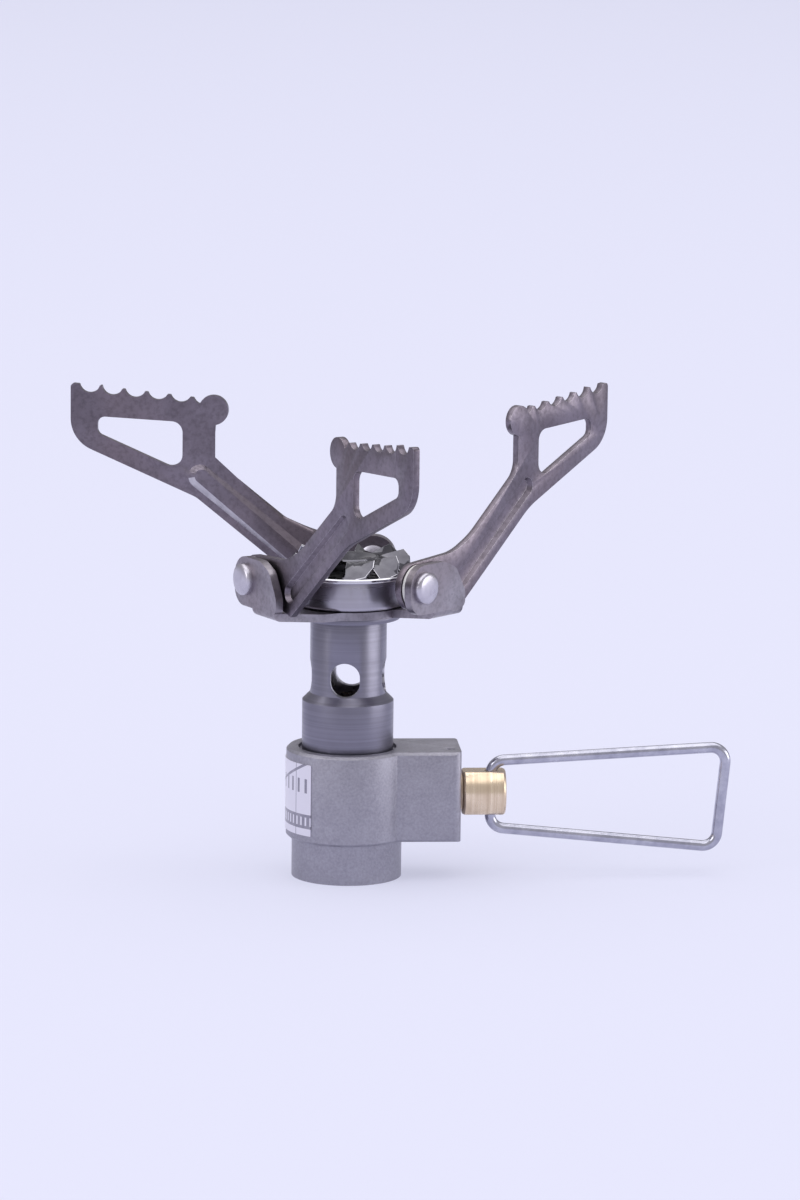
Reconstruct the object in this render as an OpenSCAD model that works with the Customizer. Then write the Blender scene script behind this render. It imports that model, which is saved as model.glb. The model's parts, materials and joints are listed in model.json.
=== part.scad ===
// Folding canister-top gas stove, in millimetres.
// The stove stands on the bottom of its threaded collar: origin on the stove's axis, +Z up.
// +X points out of the valve block, along the valve spindle and its wire bail.
// The three pan arms are shown open. They are measured in their own flat frame: t outwards,
// z up and w away from the stove's axis, with w = 0 in the middle of the sheet.

/* [Canister thread] */
// Major diameter of the canister thread
thread_d = 11.12; // [10:0.01:14]
// Length of the threaded bore
thread_length = 5.4; // [4:0.1:8]
// Height of the seal's chamber above the thread
seal_chamber = 2.8; // [2:0.1:4]
// Wall of the collar round the thread
collar_wall = 1.7; // [1:0.05:3]
// Height of the bare collar below the valve body
collar_height = 5.3; // [3:0.1:8]

/* [Valve body] */
// Diameter of the valve body
body_d = 16.1; // [14:0.1:22]
// Height of the valve body above the collar
body_height = 12; // [10:0.1:18]
// Reach of the side block from the stove's axis
block_reach = 14.8; // [13:0.1:20]
// Width of the side block
block_width = 10.1; // [8:0.1:14]
// Radius of the block's upright edges
block_corner = 1.1; // [0.5:0.1:2]
// Chamfer on the body's edges
edge_chamfer = 0.35; // [0.1:0.05:0.6]
// Depth of the tube's seat in the top of the body
tube_seat_depth = 1.7; // [1:0.1:3]

/* [Mixing tube] */
// Outer diameter below the step
tube_low_d = 12.05; // [10:0.05:16]
// Outer diameter above the step
tube_high_d = 10.05; // [8:0.05:14]
// Length of the wide part above the body
tube_low_length = 6.3; // [4:0.1:10]
// Height of the sloping step
tube_step = 1; // [0.5:0.1:2]
// Length of the narrow part, up to the clamp ring
tube_high_length = 9.95; // [8:0.05:16]
// Wall of the tube
tube_wall = 1.03; // [0.8:0.01:1.6]
// Wall of the spigot that holds the burner head
spigot_wall = 0.5; // [0.3:0.05:1]
// Width of an air hole
air_hole_w = 3.9; // [2:0.1:5]
// Height of an air hole
air_hole_h = 4.6; // [2:0.1:6]
// Gap from the step up to the air holes
air_hole_rise = 0; // [0:0.1:1]
// Number of air holes
air_holes = 4; // [2:1:6]
// Turn of the first air hole from the valve spindle
air_hole_turn = 81.5; // [0:0.5:90]

/* [Burner head] */
// Diameter of the bracket's disc
disc_d = 14.6; // [12:0.1:20]
// Thickness of the bracket's sheet
sheet = 1.05; // [0.6:0.05:1.5]
// Outer diameter of the clamp ring below the disc
ring_d = 13.6; // [11:0.1:18]
// Thickness of the clamp ring
ring_height = 0.75; // [0.5:0.05:1.5]
// Outer diameter of the burner cup at its foot
cup_d = 15.2; // [12:0.1:20]
// How far the cup narrows towards its rim, in diameter
cup_taper = 0.4; // [0:0.05:1]
// Height of the burner cup
cup_height = 3.9; // [3:0.1:6]
// Wall of the burner cup
cup_wall = 0.45; // [0.3:0.05:0.8]
// Diameter over the tips of the crown
crown_d = 17.1; // [14:0.1:22]
// Height of the crown above the cup's rim
crown_rise = 3.3; // [2:0.1:7]
// Number of petals in the crown
petals = 10; // [8:1:24]
// Width of the slots between the petals
petal_slot = 1.3; // [0.5:0.05:2]

/* [Pan arms] */
// Distance from the stove's axis to the middle of an arm's sheet
arm_offset = 12.4; // [10.5:0.1:15]
// Thickness of an arm
arm_sheet = 0.9; // [0.6:0.05:1.4]
// Turn of the left arm about the stove
left_turn = 170.9; // [160:0.1:175]
// Turn of the right arm about the stove
right_turn = 47; // [40:0.1:55]
// Turn of the front arm about the stove
front_turn = -64.1; // [-75:0.1:-60]
// Distance of the pivot behind the middle of the arm's own plane
pivot_back = 2.05; // [0:0.05:4]
// Radius of the arm's end round the pivot
arm_end_r = 3.1; // [2.5:0.1:5]
// Reach from the pivot to the outermost tooth
tooth_reach = 39.7; // [30:0.05:50]
// Height of the outermost tooth above the pivot
tooth_height = 22.6; // [15:0.1:30]
// Distance between the teeth
tooth_pitch = 3.06; // [2:0.02:4]
// Width of a tooth's tip
tooth_tip = 0.32; // [0.1:0.02:0.6]
// Depth of the hollows between the teeth
tooth_depth = 1.05; // [0.6:0.05:1.6]
// Number of hollows
hollows = 6; // [3:1:7]
// Fall of the toothed edge towards the burner, in degrees
edge_fall = 4.7; // [0:0.1:8]
// Radius of the round knob at the inner end of the teeth
knob_r = 2; // [1:0.1:3]
// Width of the web between the arm's window and its inner edge
neck_w = 4.4; // [3:0.1:6]
// Depth of the web between the teeth and the window
rail_w = 3.15; // [2:0.05:5]
// Fall of the window's top edge towards the burner, in degrees
window_fall = 2.6; // [0:0.1:8]
// Angle of the sloping bar, in degrees
bar_angle = 38.2; // [30:0.1:50]
// Width of the pressed groove in the bar
groove_w = 2.4; // [1:0.1:3]
// Depth of the pressed groove
groove_depth = 0.6; // [0.2:0.05:0.6]
// Length of the pressed groove
groove_length = 18; // [10:0.5:24]

/* [Rivets] */
// Diameter of a rivet's shank
rivet_d = 2.5; // [1.5:0.1:3.5]
// Diameter of a rivet's head
rivet_head_d = 4.3; // [3:0.1:6]
// Gap between an arm and the ear that holds it
ear_gap = 0.5; // [0.5:0.05:2]
// Length of an ear
ear_length = 11.3; // [9:0.1:15]
// Height of an ear above the end of its leg
ear_height = 6.4; // [5:0.1:9]
// Rise of a leg from the disc to its ear
leg_rise = 0.6; // [0:0.05:1.5]

/* [Valve spindle] */
// Height of the spindle above the foot of the body
spindle_rise = 5.8; // [4:0.1:8]
// Diameter of the spindle's head
head_d = 6.5; // [5:0.1:8]
// Length of the spindle's head
head_length = 5.7; // [4:0.1:8]
// Distance across the flats of the head
head_flats = 5.7; // [4:0.1:7]
// Gap between the closed head and the block
head_gap = 0.4; // [0.3:0.05:1]
// Diameter of the spindle's shank
shank_d = 4.8; // [4:0.1:6]
// Travel of the spindle from shut to fully open
spindle_travel = 1.1; // [0.6:0.05:1.5]

/* [Wire bail] */
// Diameter of the wire
wire_d = 1.44; // [1:0.02:2]
// Length of the bail's upper leg
bail_top_length = 31.4; // [20:0.1:40]
// Length of the bail's lower leg
bail_low_length = 30.1; // [20:0.1:40]
// Height of the upper leg above the spindle, at the head
bail_top_in = 4.1; // [3.6:0.05:6]
// Height of the upper leg above the spindle, at the far end
bail_top_out = 5.95; // [4:0.05:8]
// Depth of the lower leg below the spindle, at the head
bail_low_in = 4.85; // [3.6:0.05:6]
// Depth of the lower leg below the spindle, at the far end
bail_low_out = 7.65; // [4:0.05:9]
// Radius of the wire's bends, along its middle
wire_bend = 1.9; // [1:0.1:3]

/* [Fits] */
// Gap between pieces that stay together
seat_gap = 0.03; // [0.01:0.01:0.1]
// Radial clearance of turning pieces
running_gap = 0.06; // [0.02:0.01:0.1]
// Gap between moving pieces that only pass
free_gap = 0.3; // [0.2:0.05:0.6]

/* [Hidden] */
$fn = 64;
e = 0.01;
body_foot = collar_height;
body_top = body_foot + body_height;
body_r = body_d / 2;
collar_r = thread_d / 2 + collar_wall;
block_half = block_width / 2;
axis_z = body_foot + spindle_rise;

// Inlet: nipple, seal and filter above the canister thread
chamber_top = thread_length + seal_chamber;
chamber_r = thread_d / 2 + 0.2;
nipple_r = 3.2;
nipple_drop = seal_chamber - 0.9;
probe_r = 1;
probe_drop = seal_chamber - 0.1;
stem_r = 1.4;
stem_top = chamber_top + 1.6;
filter_r = 0.9;
filter_height = 1.4;
seal_wire_r = 0.85;
inlet_r = 0.6;
outlet_r = 0.5;

// Needle seat beside the jet, then threaded length and seals along the spindle
jet_r = 1.9;
seat_in = jet_r + 0.15;
seat_out = seat_in + 1.5;
seat_r = 1.9;
orifice_r = 0.5;
thread_in = seat_out + 1.5;
thread_r = shank_d / 2 - 0.45;
shank_in = 8.7;
seal_in = 9.5;
seal_out = 10.85;
seal_root = 1.6;
ring_r = (shank_d / 2 + running_gap - seal_root - 0.06) / 2;
backup_t = 0.35;
stop_root = 1.7;
stop_pin_r = 0.6;
stop_pin_y = -(stop_root + stop_pin_r + 0.1);
head_in = block_reach + head_gap;
stop_x = head_in - 1.8;
stop_in = stop_x - stop_pin_r - 0.1 - spindle_travel;
stop_out = stop_x + stop_pin_r + 0.15;
head_out = head_in + head_length;
bail_x = head_in + head_length * 2 / 3;

// Mixing tube, from its seat to the top of its spigot
tube_foot = body_top - tube_seat_depth;
step_z = body_top + tube_low_length;
tube_shoulder = step_z + tube_step + tube_high_length;
spigot_r = tube_high_d / 2 - tube_wall + spigot_wall;
tube_bore_low = tube_low_d / 2 - tube_wall;
tube_bore = tube_high_d / 2 - tube_wall;
air_z = step_z + tube_step + air_hole_rise + air_hole_h / 2;

// Jet, at the foot of the mixing tube
jet_head_r = 2.6;
jet_foot = tube_foot - 1.3;
jet_washer = 0.3;
jet_head_h = 1.8;
jet_bore = 0.8;
jet_hole = 0.2;

// Burner head, stacked on the clamp ring
disc_z = tube_shoulder + ring_height;
disc_top = disc_z + sheet;
cup_foot = disc_top + seat_gap;
cup_rim = cup_foot + cup_height;
cup_floor_t = 0.55;
retainer_h = 0.55;
retainer_z = cup_foot + cup_floor_t + seat_gap;
spigot_top = retainer_z + retainer_h;
screen_t = 0.3;
screen_top = cup_rim - 1.1;
cup_bore_rim = cup_d / 2 - cup_taper / 2 - cup_wall;
crown_r = crown_d / 2;
crown_top = cup_rim + crown_rise;
crown_sheet = 0.5;

// Arms: everything is measured from the pivot, in the arm's own plane
pivot_z = disc_top + leg_rise + free_gap + arm_end_r;
tip_dir = [-cos(edge_fall), -sin(edge_fall)];
tip_out = [tooth_reach, tooth_height];
tip_in = tip_out + tip_dir * tooth_pitch * hollows;
half_gap = (tooth_pitch - tooth_tip) / 2;
hollow_r = (half_gap * half_gap + tooth_depth * tooth_depth) / (2 * tooth_depth);
outer_t = tooth_reach + 1.05;
neck_t = tip_in[0] - 0.1;
knob_at = tip_in + [0.2, -knob_r + 0.35];
low_angle = 23.3;
low_point = [outer_t - 15.3, tooth_height - 14.2];
window_in = neck_t + neck_w;
window_out = outer_t - 3.6;
window_end_r = 1.3;
web_w = 2.35;
heel = [9.5, -arm_end_r - 0.55];
groove_start = [window_in - 2.4, low_point[1] + 2.1];

// Ears and rivets, along w from the middle of an arm's sheet
arm_face = arm_sheet / 2;
ear_in = arm_face + ear_gap;
ear_out = ear_in + sheet;
ear_left = -pivot_back - 2.85;
ear_right = ear_left + ear_length;
ear_slope = 1.9;
ear_low = disc_top + leg_rise;
ear_top = ear_low + ear_height;
leg_left = 0;
leg_right = ear_right - 0.5;
rivet_r = rivet_d / 2;
rivet_head_r = rivet_head_d / 2;
inner_head_r = 1.9;
inner_head_t = 0.7;
head_dome = 0.95;

// Label round the left of the body
label_t = 0.12;
label_from = 158;
label_sweep = 73;
label_low = body_foot + 1.1;
label_high = body_top - 1.4;

// ---- helpers ----

// A cylinder along +X from x0 to x1.
module rod_x(x0, x1, r) {
    translate([x0, 0, 0])
        rotate([0, 90, 0])
            cylinder(r = r, h = x1 - x0);
}

// A ring standing on z0.
module ring(r_out, r_in, z0, z1) {
    translate([0, 0, z0])
        difference() {
            cylinder(r = r_out, h = z1 - z0);
            translate([0, 0, -1])
                cylinder(r = r_in, h = z1 - z0 + 2);
        }
}

// Moves its children from an arm's own frame (t, z, w) to the stove's frame.
module arm_frame(turn) {
    rotate([0, 0, turn])
        translate([0, -arm_offset, 0])
            rotate([90, 0, 0])
                children();
}

function unit(v) = v / norm(v);
function corner_half(a, v, b) = acos(unit(a - v) * unit(b - v)) / 2;
function corner_trim(a, v, b, r) = r / tan(corner_half(a, v, b));
function corner_centre(a, v, b, r) =
    v + unit(unit(a - v) + unit(b - v)) * r / sin(corner_half(a, v, b));

// A flat convex shape with each corner rounded to its own radius.
module rounded(pts, radii) {
    n = len(pts);
    polygon([for (i = [0 : 2 * n - 1])
        let (k = floor(i / 2), a = pts[(k + n - 1) % n], v = pts[k], b = pts[(k + 1) % n])
        v + unit((i % 2 == 0 ? a : b) - v) * corner_trim(a, v, b, radii[k])]);
    for (k = [0 : n - 1])
        translate(corner_centre(pts[(k + n - 1) % n], pts[k], pts[(k + 1) % n], radii[k]))
            circle(r = radii[k]);
}

// ---- valve body and inlet ----

module valve_body() {
    color([0.60, 0.59, 0.64])
        difference() {
            union() {
                cylinder(r = collar_r, h = body_foot + 1);
                rotate_extrude()
                    polygon([
                        [0, body_foot], [body_r - edge_chamfer, body_foot],
                        [body_r, body_foot + edge_chamfer], [body_r, body_top - edge_chamfer],
                        [body_r - edge_chamfer, body_top], [0, body_top]
                    ]);
                side_block();
            }
            translate([0, 0, -1])
                cylinder(r = thread_d / 2, h = thread_length + 1);
            translate([0, 0, thread_length])
                cylinder(r = chamber_r, h = seal_chamber);
            cylinder(r = stem_r + seat_gap, h = stem_top + seat_gap);
            cylinder(r = inlet_r, h = axis_z);
            translate([0, 0, axis_z])
                spindle_bore();
            outlet_drilling();
            translate([0, 0, jet_foot - 0.2])
                cylinder(r = jet_r + seat_gap, h = body_height);
            translate([0, 0, tube_foot])
                cylinder(r = tube_low_d / 2 + seat_gap, h = body_height);
            translate([0, 0, body_top - 0.5])
                cylinder(r = tube_low_d / 2 + 0.45, h = 1);
            translate([stop_x, stop_pin_y, body_foot + 1])
                cylinder(r = stop_pin_r + seat_gap, h = body_height);
        }
}

module side_block() {
    intersection() {
        translate([0, 0, body_foot])
            linear_extrude(body_height)
                rounded(
                    [[0, -block_half], [block_reach, -block_half],
                     [block_reach, block_half], [0, block_half]],
                    [0.2, block_corner, block_corner, 0.2]);
        rotate([90, 0, 90])
            linear_extrude(block_reach + 1)
                polygon([
                    [-block_half + edge_chamfer, body_foot],
                    [block_half - edge_chamfer, body_foot],
                    [block_half, body_foot + edge_chamfer],
                    [block_half, body_top - edge_chamfer],
                    [block_half - edge_chamfer, body_top],
                    [-block_half + edge_chamfer, body_top],
                    [-block_half, body_top - edge_chamfer],
                    [-block_half, body_foot + edge_chamfer]
                ]);
    }
}

module spindle_bore() {
    rod_x(-0.8, seat_in, inlet_r);
    rod_x(seat_in, seat_out + e, seat_r + seat_gap);
    rod_x(seat_out, shank_in - 0.2, thread_r + running_gap);
    rod_x(shank_in - 0.2, block_reach + 1, shank_d / 2 + running_gap);
}

// Gas way from the needle's chamber: up, then level over the seat to the jet's foot.
module outlet_drilling() {
    rise_x = seat_out + 0.75;
    level_z = jet_foot - 0.55;
    translate([rise_x, 0, axis_z])
        cylinder(r = outlet_r, h = level_z - axis_z);
    translate([0, 0, level_z])
        rod_x(0, rise_x + outlet_r, outlet_r);
    translate([0, 0, level_z - outlet_r])
        cylinder(r = jet_bore, h = jet_foot - level_z + outlet_r);
}

module label() {
    color([0.80, 0.79, 0.85])
        rotate([0, 0, label_from])
            rotate_extrude(angle = label_sweep)
                translate([body_r, label_low])
                    square([label_t, label_high - label_low]);
}

module canister_seal() {
    color([0.12, 0.12, 0.13])
        translate([0, 0, chamber_top - seal_wire_r - seat_gap])
            rotate_extrude()
                translate([nipple_r + seal_wire_r + seat_gap, 0])
                    circle(r = seal_wire_r, $fn = 32);
}

module inlet_nipple() {
    color([0.80, 0.68, 0.42])
        difference() {
            union() {
                translate([0, 0, chamber_top - probe_drop])
                    cylinder(r = probe_r, h = probe_drop);
                translate([0, 0, chamber_top - nipple_drop])
                    cylinder(r = nipple_r, h = nipple_drop - seat_gap);
                translate([0, 0, chamber_top - 1])
                    cylinder(r = stem_r, h = stem_top - chamber_top + 1);
            }
            cylinder(r = inlet_r * 0.6, h = stem_top + 1);
            translate([0, 0, stem_top - filter_height - 0.1])
                cylinder(r = filter_r + seat_gap, h = filter_height + 1);
        }
}

module inlet_filter() {
    color([0.72, 0.60, 0.42])
        translate([0, 0, stem_top - filter_height - 0.05])
            cylinder(r = filter_r, h = filter_height);
}

module needle_seat() {
    color([0.82, 0.70, 0.45])
        translate([0, 0, axis_z])
            difference() {
                rod_x(seat_in + seat_gap, seat_out, seat_r);
                rod_x(0, seat_out + 1, orifice_r);
            }
}

module stop_pin() {
    color([0.30, 0.30, 0.32])
        translate([stop_x, stop_pin_y, body_foot + 1 + seat_gap])
            difference() {
                cylinder(r = stop_pin_r, h = body_height - 1.6);
                translate([0, 0, -1])
                    cylinder(r = stop_pin_r / 2, h = body_height + 2);
            }
}

module jet() {
    color([0.82, 0.70, 0.45])
        difference() {
            union() {
                translate([0, 0, jet_foot])
                    cylinder(r = jet_r, h = tube_foot - jet_foot + jet_washer + 0.2);
                translate([0, 0, tube_foot + jet_washer])
                    cylinder(r = jet_head_r, h = jet_head_h, $fn = 6);
            }
            translate([0, 0, jet_foot - 1])
                cylinder(r = jet_bore, h = tube_foot - jet_foot + jet_head_h);
            cylinder(r = jet_hole, h = body_top + 10);
        }
}

module jet_washer() {
    color([0.72, 0.45, 0.32])
        ring(jet_head_r, jet_r + seat_gap, tube_foot + e, tube_foot + jet_washer - e);
}

// ---- spindle, seals and bail ----

module spindle() {
    color([0.82, 0.72, 0.55])
        translate([0, 0, axis_z])
            difference() {
                union() {
                    rod_x(seat_out - 0.7, thread_in, orifice_r - 0.12);
                    translate([seat_out + 0.3, 0, 0])
                        rotate([0, 90, 0])
                            cylinder(r1 = orifice_r, r2 = thread_r - 0.3, h = thread_in - seat_out - 0.3);
                    rod_x(thread_in, shank_in, thread_r);
                    rod_x(shank_in, seal_in, shank_d / 2);
                    rod_x(seal_in, seal_out, seal_root);
                    rod_x(seal_out, stop_in, shank_d / 2);
                    rod_x(stop_in, stop_out, stop_root);
                    rod_x(stop_out, head_in + 0.2, shank_d / 2);
                    spindle_head();
                }
                translate([bail_x, 0, -head_d])
                    cylinder(r = wire_d / 2 + running_gap, h = 2 * head_d);
            }
}

module spindle_head() {
    chamfer = 0.3;
    r = head_d / 2;
    intersection() {
        rotate([0, 90, 0])
            rotate_extrude()
                polygon([
                    [0, head_in], [r - chamfer, head_in], [r, head_in + chamfer],
                    [r, head_out - chamfer], [r - chamfer, head_out], [0, head_out]
                ]);
        translate([head_in - 1, -r - 1, -head_flats / 2])
            cube([head_length + 2, head_d + 2, head_flats]);
    }
}

module spindle_seal() {
    color([0.10, 0.10, 0.11])
        translate([seal_in + ring_r + 0.05, 0, axis_z])
            rotate([0, 90, 0])
                rotate_extrude()
                    translate([seal_root + ring_r + 0.03, 0])
                        circle(r = ring_r, $fn = 32);
}

module backup_ring() {
    color([0.90, 0.89, 0.86])
        translate([0, 0, axis_z])
            difference() {
                rod_x(seal_out - 0.05 - backup_t, seal_out - 0.05, shank_d / 2 + running_gap - 0.03);
                rod_x(seal_in, seal_out + 1, seal_root + 0.03);
            }
}

module bail() {
    grip = head_flats / 2 - 1.6;
    far_top = [bail_x + bail_top_length, bail_top_out];
    far_low = [bail_x + bail_low_length, -bail_low_out];
    color([0.72, 0.72, 0.78])
        translate([0, 0, axis_z])
            wire([
                [bail_x, grip], [bail_x, bail_top_in], far_top,
                far_low, [bail_x, -bail_low_in], [bail_x, -grip]
            ]);
}

// Round wire through points in the XZ plane, bent round each inner point.
// The straight lengths are drawn a hair thinner and run a little way into the bends.
module wire(pts) {
    last = len(pts) - 1;
    for (i = [0 : last - 1]) {
        run = unit(pts[i + 1] - pts[i]);
        from = i == 0 ? pts[0] : pts[i] + run * bend_trim(pts, i);
        to = i == last - 1 ? pts[last] : pts[i + 1] - run * bend_trim(pts, i + 1);
        lap = 0.1;
        translate([from[0] - run[0] * lap, 0, from[1] - run[1] * lap])
            rotate([0, atan2(run[0], run[1]), 0])
                cylinder(r = wire_d / 2 - 0.005, h = norm(to - from) + 2 * lap, $fn = 32);
    }
    for (i = [1 : last - 1])
        wire_corner(pts[i - 1], pts[i], pts[i + 1]);
}

function bend_trim(pts, i) = corner_trim(pts[i - 1], pts[i], pts[i + 1], wire_bend);

module wire_corner(a, v, b) {
    centre = corner_centre(a, v, b, wire_bend);
    start = unit(v + unit(a - v) * corner_trim(a, v, b, wire_bend) - centre);
    sweep = 180 - 2 * corner_half(a, v, b);
    ahead = unit(v - a);
    side = start[1] * ahead[0] - start[0] * ahead[1];
    translate([centre[0], 0, centre[1]])
        rotate([0, -atan2(start[1], start[0]), 0])
            rotate([side > 0 ? -90 : 90, 0, 0])
                rotate_extrude(angle = sweep)
                    translate([wire_bend, 0])
                        circle(r = wire_d / 2, $fn = 32);
}

// ---- mixing tube and burner head ----

module mixing_tube() {
    low = tube_low_d / 2;
    high = tube_high_d / 2;
    color([0.45, 0.44, 0.50])
        difference() {
            rotate_extrude()
                polygon([
                    [tube_bore_low, tube_foot], [low - 0.2, tube_foot], [low, tube_foot + 0.2],
                    [low, step_z], [high, step_z + tube_step], [high, tube_shoulder],
                    [spigot_r, tube_shoulder], [spigot_r, spigot_top], [tube_bore, spigot_top],
                    [tube_bore, step_z + tube_step], [tube_bore_low, step_z]
                ]);
            for (i = [0 : air_holes - 1])
                rotate([0, 0, air_hole_turn + i * 360 / air_holes])
                    air_hole();
        }
}

// One air hole along +X: a slot with round ends.
module air_hole() {
    r = air_hole_w / 2;
    rise = (air_hole_h - air_hole_w) / 2;
    for (s = [-1, 1])
        translate([0, 0, air_z + s * rise])
            rod_x(tube_bore / 2, tube_low_d, r);
    translate([tube_bore / 2, -r, air_z - rise])
        cube([tube_low_d - tube_bore / 2, air_hole_w, 2 * rise]);
}

module clamp_ring() {
    color([0.46, 0.44, 0.49])
        ring(ring_d / 2, spigot_r + seat_gap, tube_shoulder + e, disc_z - e);
}

module bracket() {
    color([0.54, 0.51, 0.56])
        difference() {
            union() {
                translate([0, 0, disc_z])
                    cylinder(r = disc_d / 2, h = sheet);
                for (turn = [left_turn, right_turn, front_turn])
                    arm_frame(turn)
                        leg_and_ear();
            }
            cylinder(r = spigot_r + seat_gap, h = spigot_top + 1);
            for (turn = [left_turn, right_turn, front_turn])
                arm_frame(turn)
                    translate([-pivot_back, pivot_z, 0])
                        cylinder(r = rivet_r + seat_gap, h = ear_out + 1);
        }
}

// One leg of the bracket and the ear bent up from its end, in an arm's frame.
module leg_and_ear() {
    root = -arm_offset + disc_d / 4;
    edge = -arm_offset + disc_d / 2 - 0.3;
    translate([leg_left, 0, 0])
        rotate([90, 0, 90])
            linear_extrude(leg_right - leg_left)
                polygon([
                    [disc_z, root], [disc_z, edge], [disc_z + leg_rise, ear_in],
                    [ear_low, ear_in], [disc_top, edge], [disc_top, root]
                ]);
    intersection() {
        translate([leg_left, ear_low, ear_in])
            rotate([0, 90, 0])
                cylinder(r = sheet, h = leg_right - leg_left);
        translate([leg_left - 1, ear_low - 2, ear_in - e])
            cube([leg_right - leg_left + 2, 2 + e, sheet + 1]);
    }
    translate([0, 0, ear_in])
        linear_extrude(sheet)
            rounded(
                [[ear_left, ear_low - 0.1], [ear_right, ear_low - 0.1],
                 [ear_right, ear_top - ear_height * 0.68],
                 [ear_right - ear_slope, ear_top - ear_height * 0.17],
                 [ear_right - ear_slope * 2.3, ear_top], [ear_left, ear_top]],
                [2.4, 0.9, 2, 2, 2.5, 2.9]);
    translate([leg_left, ear_low - e, ear_in])
        cube([leg_right - leg_left, 1.5, sheet]);
}

module burner_cup() {
    foot = cup_d / 2;
    rim = foot - cup_taper / 2;
    color([0.70, 0.68, 0.73])
        rotate_extrude()
            polygon([
                [spigot_r + seat_gap, cup_foot], [foot - 0.4, cup_foot], [foot, cup_foot + 0.4],
                [rim, cup_rim], [rim - cup_wall, cup_rim],
                [foot - cup_wall, cup_foot + cup_floor_t], [spigot_r + seat_gap, cup_foot + cup_floor_t]
            ]);
}

module tube_retainer() {
    color([0.60, 0.58, 0.62])
        ring(spigot_r + 1.1, spigot_r + seat_gap, retainer_z, spigot_top);
}

module flame_screen() {
    r = cup_bore_rim - 0.5;
    foot = cup_foot + cup_floor_t + seat_gap;
    color([0.62, 0.60, 0.60])
        difference() {
            translate([0, 0, foot])
                cylinder(r = r, h = screen_top - foot);
            translate([0, 0, foot - 1])
                cylinder(r = r - screen_t, h = screen_top - screen_t - foot + 1);
            for (i = [0 : 11])
                rotate([0, 0, i * 30])
                    translate([r * 0.66, 0, foot])
                        cylinder(r = 0.7, h = cup_height);
        }
}

module burner_crown() {
    skirt = cup_bore_rim - 0.05;
    low = cup_rim + 0.4;
    t = crown_sheet;
    color([0.74, 0.73, 0.78])
        difference() {
            rotate_extrude()
                polygon([
                    [skirt - t, screen_top + 0.05], [skirt, screen_top + 0.05], [skirt, low],
                    [crown_r - 0.1, low + 0.05], [crown_r, low + 0.35],
                    [crown_r * 0.88, cup_rim + crown_rise * 0.55],
                    [crown_r * 0.72, cup_rim + crown_rise * 0.84],
                    [crown_r * 0.54, crown_top], [crown_r * 0.34, crown_top - 0.1],
                    [crown_r * 0.2, crown_top - 0.8], [0, crown_top - 1], [0, crown_top - 1 - t],
                    [crown_r * 0.21, crown_top - 0.8 - t], [crown_r * 0.36, crown_top - 0.1 - t],
                    [crown_r * 0.52, crown_top - t], [crown_r * 0.68, cup_rim + crown_rise * 0.84 - t],
                    [crown_r * 0.83, cup_rim + crown_rise * 0.55 - t], [crown_r * 0.86, low + t],
                    [skirt - t, low + t]
                ]);
            for (i = [0 : petals - 1])
                rotate([0, 0, i * 360 / petals])
                    translate([crown_r * 0.3, -petal_slot / 2, low + 0.02])
                        cube([crown_r, petal_slot, crown_rise]);
        }
}

// ---- pan arms ----

module arm_left() {
    color([0.44, 0.41, 0.45])
        arm_frame(left_turn)
            arm();
}

module arm_right() {
    color([0.44, 0.41, 0.45])
        arm_frame(right_turn)
            arm();
}

module arm_front() {
    color([0.44, 0.41, 0.45])
        arm_frame(front_turn)
            arm();
}

// A stamped arm with a groove pressed along its bar, hollow on the outer face.
module arm() {
    translate([-pivot_back, pivot_z, 0])
        difference() {
            union() {
                translate([0, 0, -arm_face])
                    linear_extrude(arm_sheet)
                        arm_outline();
                translate([0, 0, -arm_face - groove_depth])
                    linear_extrude(groove_depth + 0.1)
                        groove_shape(groove_w / 2 + 0.4);
            }
            translate([0, 0, arm_face - groove_depth])
                linear_extrude(groove_depth + 1)
                    groove_shape(groove_w / 2);
            translate([0, 0, -5])
                cylinder(r = rivet_r + running_gap, h = 10);
        }
}

// The groove seen from the side: a strip with round ends along the bar.
module groove_shape(r) {
    translate(groove_start)
        rotate(bar_angle) {
            circle(r = r);
            translate([-groove_length, 0])
                circle(r = r);
            translate([-groove_length, -r])
                square([groove_length, 2 * r]);
        }
}

module arm_outline() {
    difference() {
        union() {
            difference() {
                head_plate();
                for (i = [0 : hollows - 1])
                    translate(tip_out + tip_dir * tooth_pitch * (i + 0.5)
                              + [0, hollow_r - tooth_depth])
                        circle(r = hollow_r, $fn = 32);
            }
            translate(knob_at)
                circle(r = knob_r);
            circle(r = arm_end_r);
            bar_plate();
        }
        window();
    }
}

module head_plate() {
    low_end = [outer_t, low_point[1] + (outer_t - low_point[0]) * tan(low_angle)];
    in_low = [neck_t, low_point[1] - (low_point[0] - neck_t) * tan(low_angle)];
    top_out = tip_out + [outer_t - tooth_reach, (outer_t - tooth_reach) * tan(edge_fall)];
    top_in = tip_in - [0, 0.3];
    rounded([top_out, low_end, in_low, [neck_t, top_in[1]]], [0.5, 4.5, 0.3, 0.3]);
}

// The sloping bar from the head down to the flat round the pivot.
module bar_plate() {
    slope = tan(bar_angle);
    up_in = [neck_t, low_point[1] + 4.3];
    up_out = [up_in[0] - 9.4, up_in[1] - 9.4 * slope];
    low_start = low_point - [1.6, 0.7];
    low_out = [heel[0] + 1.1, heel[1] + 1.1 * slope];
    polygon([
        up_in, up_out, [up_out[0] - 3.8, arm_end_r + 0.5], [0, arm_end_r], [0, -arm_end_r],
        [leg_right + pivot_back + 0.3, -arm_end_r], heel, low_out, low_start,
        low_point + [2, 0.86]
    ]);
}

function window_top(t) = tooth_height - tooth_depth - rail_w - (tooth_reach - t) * tan(window_fall);
function window_low(t) =
    low_point[1] + (t - low_point[0]) * tan(low_angle) + web_w / cos(low_angle);

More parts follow.
